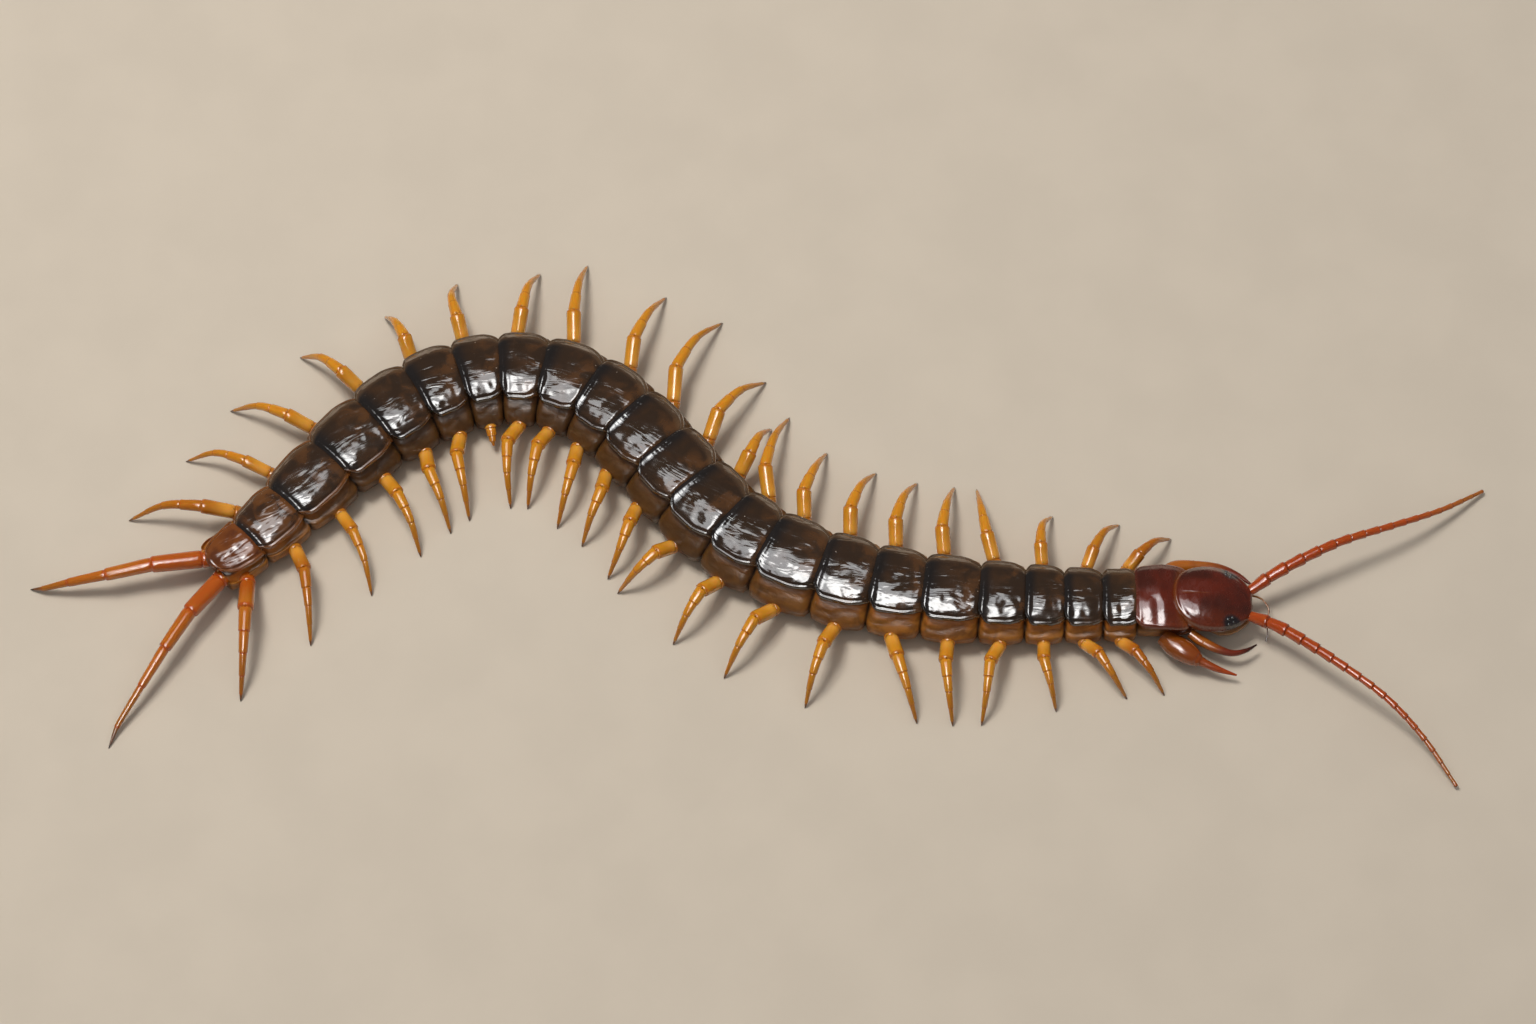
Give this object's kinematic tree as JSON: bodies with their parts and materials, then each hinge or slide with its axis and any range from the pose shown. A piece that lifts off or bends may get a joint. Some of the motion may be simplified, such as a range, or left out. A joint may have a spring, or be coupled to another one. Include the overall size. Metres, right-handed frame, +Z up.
{
  "type": "centipede",
  "caption": "Still, life-size centipede on its walking legs in an S-curve, with plated back, long feelers, poison claws and trailing rear legs.",
  "frame": {"origin": "middle of the animal's plan box, on the floor that its claws stand on", "axes": "+X from the tail to the head, +Y towards the side that is away from the viewer of the picture, +Z up"},
  "size_m": [0.1667, 0.0664, 0.0069],
  "materials": {
    "dark_plates": "polished near-black brown shell, amber and translucent on the flanks",
    "red_plates": "polished maroon shell",
    "amber_legs": "glossy translucent amber",
    "red_limbs": "glossy translucent red-orange",
    "claws": "glossy red-brown with black points"
  },
  "bodies": {
    "root": {"antenna_far": "red_limbs", "antenna_near": "red_limbs", "head": "red_plates", "leg_far_02": "amber_legs", "leg_far_03": "amber_legs", "leg_far_04": "amber_legs", "leg_far_05": "amber_legs", "leg_far_06": "amber_legs", "leg_far_07": "amber_legs", "leg_far_08": "amber_legs", "leg_far_09": "amber_legs", "leg_far_10": "amber_legs", "leg_far_11": "amber_legs", "leg_far_12": "amber_legs", "leg_far_13": "amber_legs", "leg_far_14": "amber_legs", "leg_far_15": "amber_legs", "leg_far_16": "amber_legs", "leg_far_17": "amber_legs", "leg_far_18": "amber_legs", "leg_far_19": "amber_legs", "leg_far_20": "amber_legs", "leg_far_21": "amber_legs", "leg_far_22": "amber_legs", "leg_near_02": "amber_legs", "leg_near_03": "amber_legs", "leg_near_04": "amber_legs", "leg_near_05": "amber_legs", "leg_near_06": "amber_legs", "leg_near_07": "amber_legs", "leg_near_08": "amber_legs", "leg_near_09": "amber_legs", "leg_near_10": "amber_legs", "leg_near_11": "amber_legs", "leg_near_12": "amber_legs", "leg_near_13": "amber_legs", "leg_near_14": "amber_legs", "leg_near_15": "amber_legs", "leg_near_16": "amber_legs", "leg_near_17": "amber_legs", "leg_near_18": "amber_legs", "leg_near_19": "amber_legs", "leg_near_20": "amber_legs", "leg_near_21": "amber_legs", "leg_near_22": "amber_legs", "leg_near_23": "red_limbs", "neck": "red_plates", "palp_far": "claws", "palp_near": "claws", "poison_claw_far": "claws", "poison_claw_near": "claws", "tail_leg_far": "red_limbs", "tail_leg_near": "red_limbs", "trunk_11_to_13": "dark_plates", "trunk_14_to_16": "dark_plates", "trunk_17_to_19": "dark_plates", "trunk_20_to_23": "dark_plates", "trunk_2_to_4": "dark_plates", "trunk_5_to_7": "dark_plates", "trunk_8_to_10": "dark_plates"}
  },
  "joints": []
}
